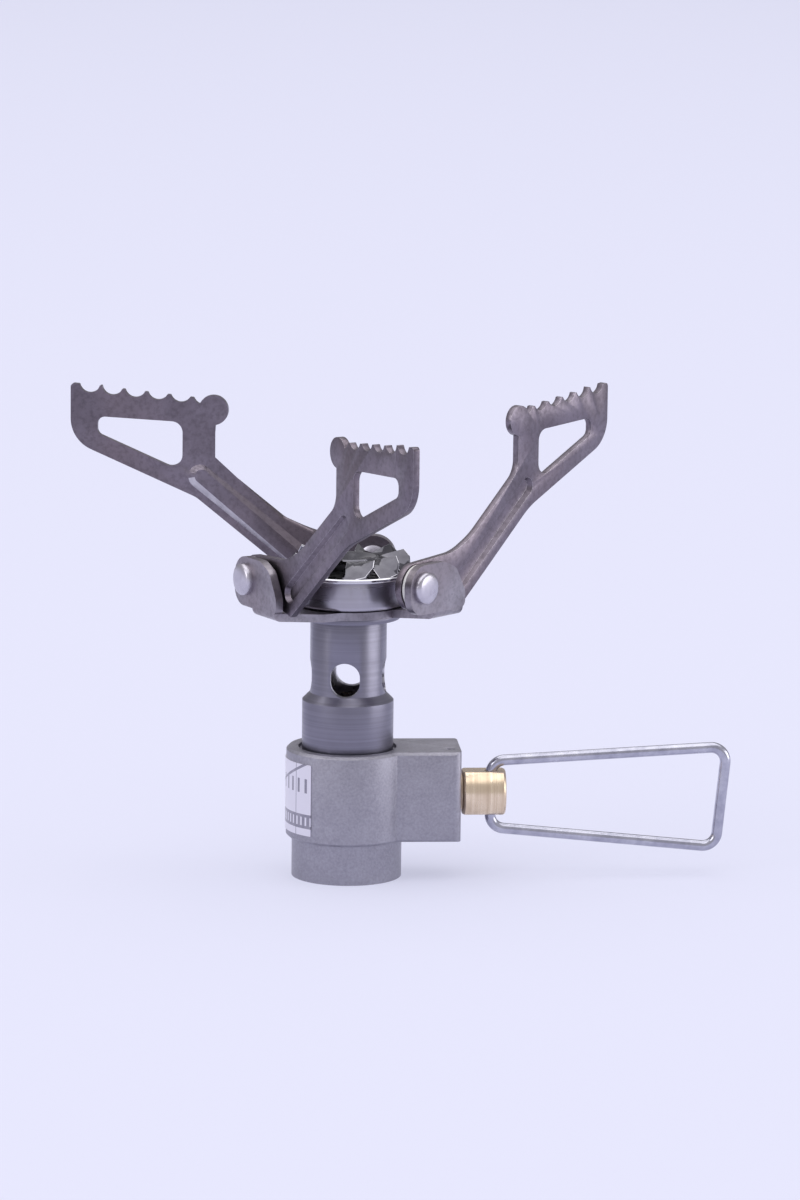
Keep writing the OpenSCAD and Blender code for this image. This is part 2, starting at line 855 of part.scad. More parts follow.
module window() {
    rounded(
        [[window_in, window_low(window_in)], [window_out, window_low(window_out)],
         [window_out, window_top(window_out)], [window_in, window_top(window_in)]],
        [1.5, window_end_r * 0.8, window_end_r * 0.8, 1.5]);
}

module rivets() {
    color([0.72, 0.71, 0.75])
        for (turn = [left_turn, right_turn, front_turn])
            arm_frame(turn)
                translate([-pivot_back, pivot_z, 0])
                    rivet();
}

module rivet() {
    shop = -arm_face - 0.15;
    dome_r = (rivet_head_r * rivet_head_r + head_dome * head_dome) / (2 * head_dome);
    translate([0, 0, shop - inner_head_t])
        cylinder(r = inner_head_r, h = inner_head_t);
    translate([0, 0, shop - e])
        cylinder(r = rivet_r, h = ear_out - shop + 0.3);
    intersection() {
        translate([0, 0, ear_out + e])
            cylinder(r = rivet_head_r, h = head_dome);
        translate([0, 0, ear_out + head_dome - dome_r])
            sphere(r = dome_r);
    }
}

module rivet_washers() {
    color([0.50, 0.48, 0.50])
        for (turn = [left_turn, right_turn, front_turn])
            arm_frame(turn)
                translate([-pivot_back, pivot_z, arm_face + 0.15])
                    difference() {
                        cylinder(r = arm_end_r - 0.2, h = ear_gap - 0.15 - e);
                        translate([0, 0, -1])
                            cylinder(r = rivet_r + seat_gap, h = ear_gap + 2);
                    }
}

valve_body();
label();
canister_seal();
inlet_nipple();
inlet_filter();
needle_seat();
stop_pin();
jet();
jet_washer();
spindle();
spindle_seal();
backup_ring();
bail();
mixing_tube();
clamp_ring();
bracket();
burner_cup();
tube_retainer();
flame_screen();
burner_crown();
arm_left();
arm_right();
arm_front();
rivets();
rivet_washers();
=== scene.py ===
import json
import math

import bpy
from mathutils import Matrix, Vector

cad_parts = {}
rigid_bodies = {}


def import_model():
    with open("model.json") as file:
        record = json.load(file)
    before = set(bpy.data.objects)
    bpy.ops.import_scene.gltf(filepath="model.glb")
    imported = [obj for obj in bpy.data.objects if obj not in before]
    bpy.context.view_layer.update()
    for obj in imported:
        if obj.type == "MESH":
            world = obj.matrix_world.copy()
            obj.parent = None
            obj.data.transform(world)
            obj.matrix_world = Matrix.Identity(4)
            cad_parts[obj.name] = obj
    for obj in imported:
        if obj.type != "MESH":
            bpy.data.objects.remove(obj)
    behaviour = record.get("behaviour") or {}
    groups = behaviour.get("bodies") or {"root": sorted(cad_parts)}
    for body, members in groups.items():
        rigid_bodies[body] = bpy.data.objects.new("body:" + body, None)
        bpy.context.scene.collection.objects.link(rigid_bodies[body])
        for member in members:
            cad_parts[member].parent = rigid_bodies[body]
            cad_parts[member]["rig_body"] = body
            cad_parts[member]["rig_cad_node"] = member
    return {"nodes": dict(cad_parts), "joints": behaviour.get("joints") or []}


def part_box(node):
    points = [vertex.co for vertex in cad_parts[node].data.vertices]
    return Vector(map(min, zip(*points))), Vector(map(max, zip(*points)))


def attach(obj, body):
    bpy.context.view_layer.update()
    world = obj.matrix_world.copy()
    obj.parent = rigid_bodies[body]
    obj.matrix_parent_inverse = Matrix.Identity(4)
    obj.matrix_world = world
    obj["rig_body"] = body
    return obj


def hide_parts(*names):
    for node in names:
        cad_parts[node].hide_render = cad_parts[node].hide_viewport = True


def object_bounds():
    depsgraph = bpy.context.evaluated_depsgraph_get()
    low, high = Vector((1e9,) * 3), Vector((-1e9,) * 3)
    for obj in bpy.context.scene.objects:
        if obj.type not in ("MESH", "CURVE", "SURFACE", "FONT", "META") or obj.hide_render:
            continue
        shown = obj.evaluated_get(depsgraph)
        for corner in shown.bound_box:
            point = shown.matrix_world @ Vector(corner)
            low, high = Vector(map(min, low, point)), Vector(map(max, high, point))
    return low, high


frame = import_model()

MM = 0.001
cad_box = [list(map(float, corner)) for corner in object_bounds()]

# ---- camera ----
# A long lens a little above the stove's pan arms, looking down ten degrees at the
# gas valve's side, with the valve's wire handle to the right.
heading, tilt, roll = math.radians(4.022), math.radians(10.027), math.radians(-0.658)
ahead = Vector((
    math.sin(heading) * math.cos(tilt), math.cos(heading) * math.cos(tilt), -math.sin(tilt)
))
across = Vector((math.cos(heading), -math.sin(heading), 0))
down = ahead.cross(across)
level_x = across * math.cos(roll) + down * math.sin(roll)
level_y = across * math.sin(roll) - down * math.cos(roll)
bpy.ops.object.camera_add()
camera = bpy.context.active_object
camera.name = "camera"
camera.data.lens = 163.77
camera.data.sensor_width = 36
camera.data.clip_start = 0.02
camera.data.clip_end = 30
camera.matrix_world = Matrix((
    (level_x.x, level_y.x, -ahead.x, -42.80 * MM),
    (level_x.y, level_y.y, -ahead.y, -704.36 * MM),
    (level_x.z, level_y.z, -ahead.z, 161.64 * MM),
    (0, 0, 0, 1),
))
bpy.context.scene.camera = camera
bpy.context.scene.view_settings.view_transform = "Standard"

# ---- floor and studio light ----
# A pale, faintly lavender sweep under a big soft box overhead, with a smaller one on
# each side so that the round metal parts show a light middle and darker flanks.
bpy.ops.mesh.primitive_circle_add(vertices=96, radius=9, fill_type="NGON",
                                  location=(0, 0, cad_box[0][2]))
floor = bpy.context.active_object
floor.name = "studio_floor"
bpy.ops.object.transform_apply(location=True, rotation=True, scale=True)
paper = bpy.data.materials.new("floor_paper")
paper.use_nodes = True
paper_shader = paper.node_tree.nodes["Principled BSDF"]
paper_shader.inputs["Base Color"].default_value = (0.30, 0.30, 0.36, 1)
paper_shader.inputs["Emission Color"].default_value = (0.80, 0.81, 0.985, 1)
paper_shader.inputs["Emission Strength"].default_value = 0.56
paper_shader.inputs["Roughness"].default_value = 0.9
paper_shader.inputs["Specular IOR Level"].default_value = 0.05
floor.data.materials.append(paper)

sky = bpy.data.worlds.new("studio_room")
bpy.context.scene.world = sky
sky.use_nodes = True
room = sky.node_tree
facing = room.nodes.new("ShaderNodeSeparateXYZ")
room.links.new(room.nodes.new("ShaderNodeTexCoord").outputs["Generated"], facing.inputs[0])
darker_back = room.nodes.new("ShaderNodeMapRange")
darker_back.inputs["From Min"].default_value = -0.2
darker_back.inputs["From Max"].default_value = 0.9
darker_back.inputs["To Min"].default_value = 0.62
darker_back.inputs["To Max"].default_value = 0.40
room.links.new(facing.outputs["Y"], darker_back.inputs["Value"])
room.nodes["Background"].inputs["Color"].default_value = (0.93, 0.92, 0.985, 1)
room.links.new(darker_back.outputs["Result"], room.nodes["Background"].inputs["Strength"])


def soft_box(name, place, aim, width, height, power):
    """A rectangular area light at a place, turned towards its aim."""
    bpy.ops.object.light_add(type="AREA", location=place)
    lamp = bpy.context.active_object
    lamp.name = name
    lamp.data.shape = "RECTANGLE"
    lamp.data.size, lamp.data.size_y = width, height
    lamp.data.energy = power
    lamp.rotation_euler = (Vector(aim) - Vector(place)).to_track_quat("-Z", "Y").to_euler()


soft_box("top_box", (-0.1, 0.3, 2.4), (0, 0.2, 0.03), 3.6, 3.6, 52)
soft_box("left_box", (-1.2, -0.7, 0.75), (0, 0, 0.03), 0.8, 0.9, 5.6)
soft_box("right_box", (1.3, -0.25, 0.30), (0, 0, 0.03), 1.0, 0.6, 4.7)

# ---- valve body ----
# The block that screws on to the gas canister: one aluminium turning with a side block
# for the valve, milled, then bead blasted to a fine matt grey.


def own_copy(node, name, body):
    """A part's own mesh, merged, which stands for the node and may be worked on."""
    bpy.ops.object.select_all(action="DESELECT")
    source = frame["nodes"][node]
    source.select_set(True)
    bpy.context.view_layer.objects.active = source
    bpy.ops.object.duplicate()
    piece = bpy.context.active_object
    piece.name = name
    piece.data.name = name
    piece.parent = None
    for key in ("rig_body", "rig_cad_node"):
        if key in piece:
            del piece[key]
    piece.data.materials.clear()
    bpy.ops.object.mode_set(mode="EDIT")
    bpy.ops.mesh.select_all(action="SELECT")
    bpy.ops.mesh.remove_doubles(threshold=2e-6)
    bpy.ops.mesh.dissolve_limited(angle_limit=math.radians(0.4))
    bpy.ops.object.mode_set(mode="OBJECT")
    if piece.data.has_custom_normals:
        bpy.ops.mesh.customdata_custom_splitnormals_clear()
    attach(piece, body)
    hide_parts(node)
    return piece


def break_edges(piece, width, turn_over=35, steps=2, material=0):
    """Rounds the corners sharper than turn_over degrees, as tumbling or blasting does."""
    bpy.ops.object.select_all(action="DESELECT")
    piece.select_set(True)
    bpy.context.view_layer.objects.active = piece
    bevel = piece.modifiers.new("broken_edges", "BEVEL")
    bevel.width = width
    bevel.segments = steps
    bevel.limit_method = "ANGLE"
    bevel.angle_limit = math.radians(turn_over)
    bevel.material = material
    bevel.miter_outer = "MITER_ARC"
    bpy.ops.object.modifier_apply(modifier=bevel.name)
    bpy.ops.object.shade_smooth_by_angle(angle=math.radians(38))


def new_group(name, inputs, outputs):
    """A shader node group with the named inputs and outputs, and its two end nodes."""
    group = bpy.data.node_groups.new(name, "ShaderNodeTree")
    for label, kind, start in inputs:
        socket = group.interface.new_socket(name=label, in_out="INPUT", socket_type=kind)
        if start is not None:
            socket.default_value = start
    for label, kind in outputs:
        group.interface.new_socket(name=label, in_out="OUTPUT", socket_type=kind)
    return group, group.nodes.new("NodeGroupInput"), group.nodes.new("NodeGroupOutput")


def math_node(tree, operation, first, second=None):
    """One arithmetic node, fed by sockets or plain numbers; gives its output socket."""
    node = tree.nodes.new("ShaderNodeMath")
    node.operation = operation
    for value, socket in ((first, node.inputs[0]), (second, node.inputs[1])):
        if value is None:
            continue
        if isinstance(value, (int, float)):
            socket.default_value = value
        else:
            tree.links.new(value, socket)
    return node.outputs[0]


def noise(tree, place, scale, detail=3.0, rough=0.55):
    """A noise texture on a place; scale is a number or a socket."""
    node = tree.nodes.new("ShaderNodeTexNoise")
    node.inputs["Detail"].default_value = detail
    node.inputs["Roughness"].default_value = rough
    tree.links.new(place, node.inputs["Vector"])
    if isinstance(scale, (int, float)):
        node.inputs["Scale"].default_value = scale
    else:
        tree.links.new(scale, node.inputs["Scale"])
    return node.outputs["Fac"]


def blend_colours(tree, factor, first, second):
    """The colour between two colour sockets."""
    node = tree.nodes.new("ShaderNodeMix")
    node.data_type = "RGBA"
    tree.links.new(factor, node.inputs["Factor"])
    tree.links.new(first, node.inputs[6])
    tree.links.new(second, node.inputs[7])
    return node.outputs[2]


def spread(tree, value, low, high, to_low, to_high):
    """A value's range stretched to another; the new ends are numbers or sockets."""
    node = tree.nodes.new("ShaderNodeMapRange")
    tree.links.new(value, node.inputs["Value"])
    node.inputs["From Min"].default_value = low
    node.inputs["From Max"].default_value = high
    for end, socket in ((to_low, "To Min"), (to_high, "To Max")):
        if isinstance(end, (int, float)):
            node.inputs[socket].default_value = end
        else:
            tree.links.new(end, node.inputs[socket])
    return node.outputs["Result"]


SKIN_OUT = [("Colour", "NodeSocketColor"), ("Roughness", "NodeSocketFloat"),
            ("Height", "NodeSocketFloat")]

blasted, start, end = new_group("blasted_skin", [
    ("Place", "NodeSocketVector", None), ("Light", "NodeSocketColor", (0.35, 0.34, 0.4, 1)),
    ("Dark", "NodeSocketColor", (0.28, 0.27, 0.32, 1)), ("Bead", "NodeSocketFloat", 5200.0),
    ("Patch", "NodeSocketFloat", 260.0), ("Smoothest", "NodeSocketFloat", 0.45),
    ("Roughest", "NodeSocketFloat", 0.6),
], SKIN_OUT)
beads = noise(blasted, start.outputs["Place"], start.outputs["Bead"], 2.0, 0.6)
patches = noise(blasted, start.outputs["Place"], start.outputs["Patch"], 4.0, 0.6)
tone = math_node(blasted, "ADD", math_node(blasted, "MULTIPLY", beads, 0.55),
                 math_node(blasted, "MULTIPLY", patches, 0.45))
blasted.links.new(
    blend_colours(blasted, spread(blasted, tone, 0.34, 0.66, 0.0, 1.0),
                  start.outputs["Dark"], start.outputs["Light"]), end.inputs["Colour"])
blasted.links.new(
    spread(blasted, patches, 0.35, 0.65, start.outputs["Smoothest"],
           start.outputs["Roughest"]), end.inputs["Roughness"])
blasted.links.new(beads, end.inputs["Height"])


def finish(name, skin, metallic, bump_depth, bump_strength=0.5, turn=(0, 0, 0), **values):
    """A material on a skin group; values are the group's own inputs by name."""
    made = bpy.data.materials.new(name)
    made.use_nodes = True
    tree = made.node_tree
    shader = tree.nodes["Principled BSDF"]
    shader.inputs["Metallic"].default_value = metallic
    place = tree.nodes.new("ShaderNodeTexCoord").outputs["Object"]
    mapping = tree.nodes.new("ShaderNodeMapping")
    mapping.inputs["Rotation"].default_value = [math.radians(angle) for angle in turn]
    tree.links.new(place, mapping.inputs["Vector"])
    group = tree.nodes.new("ShaderNodeGroup")
    group.node_tree = skin
    tree.links.new(mapping.outputs["Vector"], group.inputs["Place"])
    for label, value in values.items():
        if isinstance(value, tuple):
            value = (*value, 1)
        group.inputs[label].default_value = value
    tree.links.new(group.outputs["Colour"], shader.inputs["Base Color"])
    tree.links.new(group.outputs["Roughness"], shader.inputs["Roughness"])
    bump = tree.nodes.new("ShaderNodeBump")
    bump.inputs["Strength"].default_value = bump_strength
    bump.inputs["Distance"].default_value = bump_depth
    tree.links.new(group.outputs["Height"], bump.inputs["Height"])
    tree.links.new(bump.outputs["Normal"], shader.inputs["Normal"])
    return made


blasted_alloy = finish("blasted_alloy", blasted, 0.85, 0.00006, 0.55,
                       Light=(0.40, 0.39, 0.45), Dark=(0.295, 0.285, 0.33),
                       Bead=3000.0, Patch=420.0, Smoothest=0.4, Roughest=0.52)
valve_body = own_copy("valve_body", "valve_body_blasted", "stove")
valve_body.data.materials.append(blasted_alloy)
break_edges(valve_body, 0.16 * MM)

# ---- canister thread ----
# The screw thread cut in the valve body's foot, which the gas canister's stem screws
# into. It is turned in the same aluminium and left bright by the tool.
thread_pitch, thread_turns = 0.907 * MM, 4
bore = 5.60 * MM
bpy.ops.object.select_all(action="DESELECT")
bpy.ops.mesh.primitive_circle_add(vertices=3, radius=0.36 * MM, fill_type="NOTHING",
                                  location=(bore, 0, cad_box[0][2] + 0.75 * MM),
                                  rotation=(math.pi / 2, math.pi / 2, math.pi))
thread = bpy.context.active_object
thread.name = "canister_thread_ridge"
bpy.ops.object.transform_apply(location=True, rotation=True, scale=True)
screw = thread.modifiers.new("ridge", "SCREW")
screw.axis = "Z"
screw.angle = math.tau
screw.screw_offset = thread_pitch
screw.iterations = thread_turns
screw.steps = screw.render_steps = 48
bpy.ops.object.modifier_apply(modifier=screw.name)
bpy.ops.object.mode_set(mode="EDIT")
bpy.ops.mesh.select_all(action="DESELECT")
bpy.ops.mesh.select_non_manifold(extend=False)
bpy.ops.mesh.fill_holes(sides=4)
bpy.ops.mesh.select_all(action="SELECT")
bpy.ops.mesh.normals_make_consistent(inside=False)
bpy.ops.object.mode_set(mode="OBJECT")
bpy.ops.object.shade_smooth_by_angle(angle=math.radians(38))
cut_alloy = finish("cut_alloy", blasted, 1.0, 0.00002, 0.3,
                   Light=(0.62, 0.61, 0.66), Dark=(0.46, 0.45, 0.5), Bead=900.0,
                   Patch=120.0, Smoothest=0.22, Roughest=0.36)
thread.data.materials.append(cut_alloy)
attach(thread, "stove")

# ---- label ----
# A thin silver film stuck round the body's left side. Its print is generic: a dark strip
# with light squares near its foot, a row of upright bars, one rule and a plain stroke.


def paint(node, material):
    """Gives a part that keeps its own shape its finish."""
    part = frame["nodes"][node]
    part.data.materials.clear()
    part.data.materials.append(material)


label_low, label_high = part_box("label")
film = bpy.data.materials.new("label_film")
film.use_nodes = True
tree = film.node_tree
film_shader = tree.nodes["Principled BSDF"]
film_shader.inputs["Metallic"].default_value = 0.3
film_shader.inputs["Coat Weight"].default_value = 0.35
place = tree.nodes.new("ShaderNodeTexCoord").outputs["Object"]
split = tree.nodes.new("ShaderNodeSeparateXYZ")
tree.links.new(place, split.inputs[0])
round_it = math_node(tree, "ARCTAN2", split.outputs["Y"],
                     math_node(tree, "MULTIPLY", split.outputs["X"], -1.0))
up_it = spread(tree, split.outputs["Z"], label_low[2], label_high[2], 0.0, 1.0)


def inside(value, low, high):
    """1 where a value lies between two limits, else 0."""
    return math_node(tree, "MULTIPLY", math_node(tree, "GREATER_THAN", value, low),
                     math_node(tree, "LESS_THAN", value, high))


strip = inside(up_it, 0.10, 0.30)
squares = math_node(tree, "MULTIPLY", inside(up_it, 0.14, 0.26),
                    math_node(tree, "GREATER_THAN",
                              math_node(tree, "SINE",
                                        math_node(tree, "MULTIPLY", round_it, 62.0)), 0.45))
rule = inside(round_it, -0.56, -0.545)
stroke = inside(math_node(tree, "SUBTRACT", up_it,
                          math_node(tree, "MULTIPLY", round_it, -0.42)), 0.66, 0.70)
blocks = math_node(tree, "MULTIPLY", inside(up_it, 0.60, 0.80),
                   math_node(tree, "GREATER_THAN",
                             math_node(tree, "SINE",
                                       math_node(tree, "MULTIPLY", round_it, 38.0)), 0.55))
ink = math_node(tree, "SUBTRACT", strip, squares)
for mark in (rule, stroke, blocks):
    ink = math_node(tree, "MAXIMUM", ink, mark)
film_light = tree.nodes.new("ShaderNodeRGB")
film_light.outputs[0].default_value = (0.70, 0.68, 0.77, 1)
film_ink = tree.nodes.new("ShaderNodeRGB")
film_ink.outputs[0].default_value = (0.22, 0.21, 0.27, 1)
mottle = spread(tree, noise(tree, place, 900.0), 0.3, 0.7, 0.82, 1.0)
inked = blend_colours(tree, math_node(tree, "MULTIPLY", ink, mottle),
                      film_light.outputs[0], film_ink.outputs[0])
tree.links.new(inked, film_shader.inputs["Base Color"])
tree.links.new(spread(tree, mottle, 0.8, 1.0, 0.42, 0.3), film_shader.inputs["Roughness"])
paint("label", film)

# ---- seals, jet and the other inner parts of the valve ----
# A black nitrile ring against the canister, brass nipple, seat and jet pressed or screwed
# into the body, a sintered bronze filter, a steel stop pin and a copper jet washer.
rubber = finish("nitrile_rubber", blasted, 0.0, 0.00003, 0.4, Light=(0.035, 0.034, 0.036),
                Dark=(0.018, 0.018, 0.02), Bead=1800.0, Patch=260.0, Smoothest=0.5,
                Roughest=0.7)
bronze = finish("sintered_bronze", blasted, 0.8, 0.00008, 0.8, Light=(0.42, 0.25, 0.12),
                Dark=(0.16, 0.09, 0.04), Bead=3800.0, Patch=500.0, Smoothest=0.5,
                Roughest=0.75)
pin_steel = finish("pin_steel", blasted, 1.0, 0.00002, 0.3, Light=(0.30, 0.30, 0.33),
                   Dark=(0.20, 0.20, 0.22), Bead=1500.0, Patch=220.0, Smoothest=0.3,
                   Roughest=0.42)
copper = finish("washer_copper", blasted, 1.0, 0.00002, 0.3, Light=(0.62, 0.27, 0.14),
                Dark=(0.42, 0.17, 0.09), Bead=1500.0, Patch=260.0, Smoothest=0.3,
                Roughest=0.45)
slip_ring = finish("white_slip_ring", blasted, 0.0, 0.00002, 0.3, Light=(0.78, 0.77, 0.74),
                   Dark=(0.66, 0.65, 0.63), Bead=900.0, Patch=240.0, Smoothest=0.4,
                   Roughest=0.5)
paint("canister_seal", rubber)
paint("spindle_seal", rubber)
paint("backup_ring", slip_ring)
paint("inlet_filter", bronze)
paint("stop_pin", pin_steel)
paint("jet_washer", copper)
paint("rivet_washers", slip_ring)

# ---- valve spindle ----
# The brass screw that opens the gas: its head stands out of the side block, turned round
# with fine tool rings and two milled flats that carry the wire handle's ends.
turned, start, end = new_group("turned_skin", [
    ("Place", "NodeSocketVector", None), ("Light", "NodeSocketColor", (0.6, 0.6, 0.6, 1)),
    ("Dark", "NodeSocketColor", (0.4, 0.4, 0.4, 1)), ("Ring", "NodeSocketFloat", 2600.0),
    ("Patch", "NodeSocketFloat", 160.0), ("Smoothest", "NodeSocketFloat", 0.2),
    ("Roughest", "NodeSocketFloat", 0.35),
], SKIN_OUT)
parts = turned.nodes.new("ShaderNodeSeparateXYZ")
turned.links.new(start.outputs["Place"], parts.inputs[0])
wobble = noise(turned, start.outputs["Place"], start.outputs["Patch"], 3.0, 0.55)
rings = turned.nodes.new("ShaderNodeTexNoise")
rings.noise_dimensions = "1D"
rings.inputs["Detail"].default_value = 3.0
rings.inputs["Roughness"].default_value = 0.7
turned.links.new(
    math_node(turned, "ADD", parts.outputs["Z"],
              math_node(turned, "MULTIPLY", wobble, 0.00006)), rings.inputs["W"])
turned.links.new(start.outputs["Ring"], rings.inputs["Scale"])
band = math_node(turned, "ADD", math_node(turned, "MULTIPLY", rings.outputs["Fac"], 0.6),
                 math_node(turned, "MULTIPLY", wobble, 0.4))
turned.links.new(
    blend_colours(turned, spread(turned, band, 0.36, 0.64, 0.0, 1.0),
                  start.outputs["Dark"], start.outputs["Light"]), end.inputs["Colour"])
turned.links.new(
    spread(turned, band, 0.36, 0.64, start.outputs["Roughest"],
           start.outputs["Smoothest"]), end.inputs["Roughness"])
turned.links.new(rings.outputs["Fac"], end.inputs["Height"])

brass = finish("turned_brass", turned, 1.0, 0.00004, 0.35, turn=(0, 90, 0),
               Light=(0.90, 0.75, 0.56), Dark=(0.66, 0.52, 0.37), Ring=1500.0, Patch=420.0,
               Smoothest=0.22, Roughest=0.36)
upright_brass = finish("upright_brass", turned, 1.0, 0.00003, 0.35,
                       Light=(0.72, 0.50, 0.27), Dark=(0.50, 0.34, 0.17), Ring=2400.0,
                       Patch=420.0, Smoothest=0.25, Roughest=0.4)
spindle = own_copy("spindle", "spindle_turned", "spindle")
spindle.data.materials.append(brass)
break_edges(spindle, 0.14 * MM)
paint("needle_seat", brass)
paint("inlet_nipple", upright_brass)
paint("jet", upright_brass)

# ---- wire handle ----
# A spring steel wire bent into a long closed loop, whose two ends sit in the spindle
# head's cross hole so that it swings out of the way.
wire_steel = finish("drawn_wire", blasted, 1.0, 0.00002, 0.3, Light=(0.56, 0.56, 0.64),
                    Dark=(0.36, 0.36, 0.44), Bead=700.0, Patch=150.0, Smoothest=0.18,
                    Roughest=0.3)
paint("bail", wire_steel)

# ---- mixing tube ----
# The tube that draws in air and carries the gas up: turned aluminium with a step and two
# cross-drilled air holes, satin and darker than the body.
tube_alloy = finish("tube_alloy", turned, 0.95, 0.00002, 0.2, Light=(0.235, 0.228, 0.285),
                    Dark=(0.195, 0.188, 0.238), Ring=1900.0, Patch=220.0, Smoothest=0.3,
                    Roughest=0.38)
mixing_tube = own_copy("mixing_tube", "mixing_tube_turned", "stove")
mixing_tube.data.materials.append(tube_alloy)
mixing_tube.data.materials.append(cut_alloy)
for face in mixing_tube.data.polygons:
    if face.normal.x * face.center.x + face.normal.y * face.center.y < -0.5 * MM:
        face.material_index = 1
break_edges(mixing_tube, 0.12 * MM)
clamp_ring = own_copy("clamp_ring", "clamp_ring_turned", "stove")
clamp_ring.data.materials.append(tube_alloy)
break_edges(clamp_ring, 0.12 * MM)

# ---- bracket ----
# One titanium pressing: a disc clamped under the burner with three legs, each ending in
# an ear bent up to carry a pan arm's rivet.
sheared, start, end = new_group("sheet_skin", [
    ("Place", "NodeSocketVector", None), ("Light", "NodeSocketColor", (0.3, 0.28, 0.3, 1)),
    ("Dark", "NodeSocketColor", (0.2, 0.18, 0.2, 1)),
    ("Warm", "NodeSocketColor", (0.26, 0.2, 0.22, 1)), ("Patch", "NodeSocketFloat", 130.0),
    ("Grain", "NodeSocketFloat", 1900.0), ("Smoothest", "NodeSocketFloat", 0.3),
    ("Roughest", "NodeSocketFloat", 0.45),
], SKIN_OUT)
cloud = noise(sheared, start.outputs["Place"], start.outputs["Patch"], 4.0, 0.6)
pits = noise(sheared, start.outputs["Place"], start.outputs["Grain"], 3.0, 0.65)
heat = noise(sheared, start.outputs["Place"], 75.0, 2.0, 0.5)
base = blend_colours(sheared, spread(sheared, cloud, 0.36, 0.64, 0.0, 1.0),
                     start.outputs["Dark"], start.outputs["Light"])
base = blend_colours(sheared, spread(sheared, heat, 0.46, 0.68, 0.0, 0.75), base,
                     start.outputs["Warm"])
speck = sheared.nodes.new("ShaderNodeMix")
speck.data_type = "RGBA"
speck.blend_type = "MULTIPLY"
sheared.links.new(spread(sheared, pits, 0.35, 0.55, 0.45, 0.0), speck.inputs["Factor"])
sheared.links.new(base, speck.inputs[6])
speck.inputs[7].default_value = (0.55, 0.55, 0.55, 1)
sheared.links.new(speck.outputs[2], end.inputs["Colour"])
sheared.links.new(
    spread(sheared, math_node(sheared, "ADD", math_node(sheared, "MULTIPLY", cloud, 0.6),
                              math_node(sheared, "MULTIPLY", pits, 0.4)), 0.38, 0.62,
           start.outputs["Roughest"], start.outputs["Smoothest"]), end.inputs["Roughness"])
sheared.links.new(pits, end.inputs["Height"])

bracket_titanium = finish("bracket_titanium", sheared, 1.0, 0.00004, 0.35,
                          Light=(0.35, 0.33, 0.37), Dark=(0.22, 0.205, 0.235),
                          Warm=(0.29, 0.25, 0.28), Patch=170.0, Grain=1700.0,
                          Smoothest=0.28, Roughest=0.4)
# The bright edge material: the real bright cut of blanked and bevelled edges, and also a
# painted highlight on the arms' downward-facing bead walls.
sheared_edge_and_painted_highlight = finish("sheared_edge_and_painted_highlight", blasted, 1.0, 0.00002, 0.3, Light=(0.58, 0.56, 0.60),
                      Dark=(0.40, 0.38, 0.42), Bead=900.0, Patch=260.0, Smoothest=0.25,
                      Roughest=0.4)
bracket = own_copy("bracket", "bracket_pressed", "stove")
bracket.data.materials.append(bracket_titanium)
bracket.data.materials.append(sheared_edge_and_painted_highlight)
break_edges(bracket, 0.14 * MM, material=1)

# ---- burner cup ----
# A spun stainless cup pressed on to the tube's end, satin all round, with its rim rolled
# where the crown drops in; that rolled rim is polished and also painted bright all round as a
# painted highlight. A gauze screen and a retaining ring sit inside it.
burner_steel = finish("burner_steel", turned, 1.0, 0.00001, 0.15, Light=(0.44, 0.425, 0.485),
                      Dark=(0.39, 0.375, 0.43), Ring=1300.0, Patch=240.0, Smoothest=0.27,
                      Roughest=0.33)
# A lighter steel: the rolled rim's polish with a painted highlight, and painted glints on the
# crown's bevelled edges.
bright_rim_and_painted_glint = finish("bright_rim_and_painted_glint", turned, 1.0, 0.00002, 0.2, Light=(0.74, 0.73, 0.78),
                    Dark=(0.56, 0.55, 0.6), Ring=1700.0, Patch=240.0, Smoothest=0.12,
                    Roughest=0.2)
burner_cup = own_copy("burner_cup", "burner_cup_spun", "stove")
burner_cup.data.materials.append(burner_steel)
break_edges(burner_cup, 0.3 * MM, steps=4)
gauze = finish("screen_gauze", blasted, 1.0, 0.0001, 0.9, Light=(0.22, 0.21, 0.22),
               Dark=(0.05, 0.05, 0.055), Bead=2400.0, Patch=500.0, Smoothest=0.4,
               Roughest=0.6)
paint("flame_screen", gauze)
paint("tube_retainer", burner_steel)

# ---- burner crown ----
# Thin polished stainless, cut into ten sectors: each is pressed to a sloping roof whose
# end is torn up into a twisted fin, and the flame comes out of the dark slot under it.
crown_low, crown_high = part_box("burner_crown")
rim_r = crown_high[0]
rim_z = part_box("burner_cup")[1][2] + 0.1 * MM
sectors = 10
crown_steel = finish("crown_steel", blasted, 1.0, 0.00002, 0.2, Light=(0.17, 0.166, 0.19),
                     Dark=(0.095, 0.092, 0.108), Bead=500.0, Patch=220.0, Smoothest=0.08,
                     Roughest=0.16)


def ring_band(name, outline, steps=96):
    """A closed outline of (radius, height) turned all the way round the upright axis."""
    bpy.ops.object.select_all(action="DESELECT")
    bpy.ops.mesh.primitive_circle_add(vertices=len(outline), radius=1, fill_type="NOTHING")
    piece = bpy.context.active_object
    piece.name = name
    for vertex, (radius, height) in zip(piece.data.vertices, outline):
        vertex.co = (radius, 0, height)
    bpy.ops.object.mode_set(mode="EDIT")
    bpy.ops.mesh.select_all(action="SELECT")
    bpy.ops.mesh.spin(steps=steps, angle=math.tau, center=(0, 0, 0), axis=(0, 0, 1))
    bpy.ops.mesh.select_all(action="SELECT")
    bpy.ops.mesh.remove_doubles(threshold=1e-6)
    bpy.ops.mesh.normals_make_consistent(inside=False)
    bpy.ops.object.mode_set(mode="OBJECT")
    bpy.ops.object.shade_smooth_by_angle(angle=math.radians(38))
    return piece


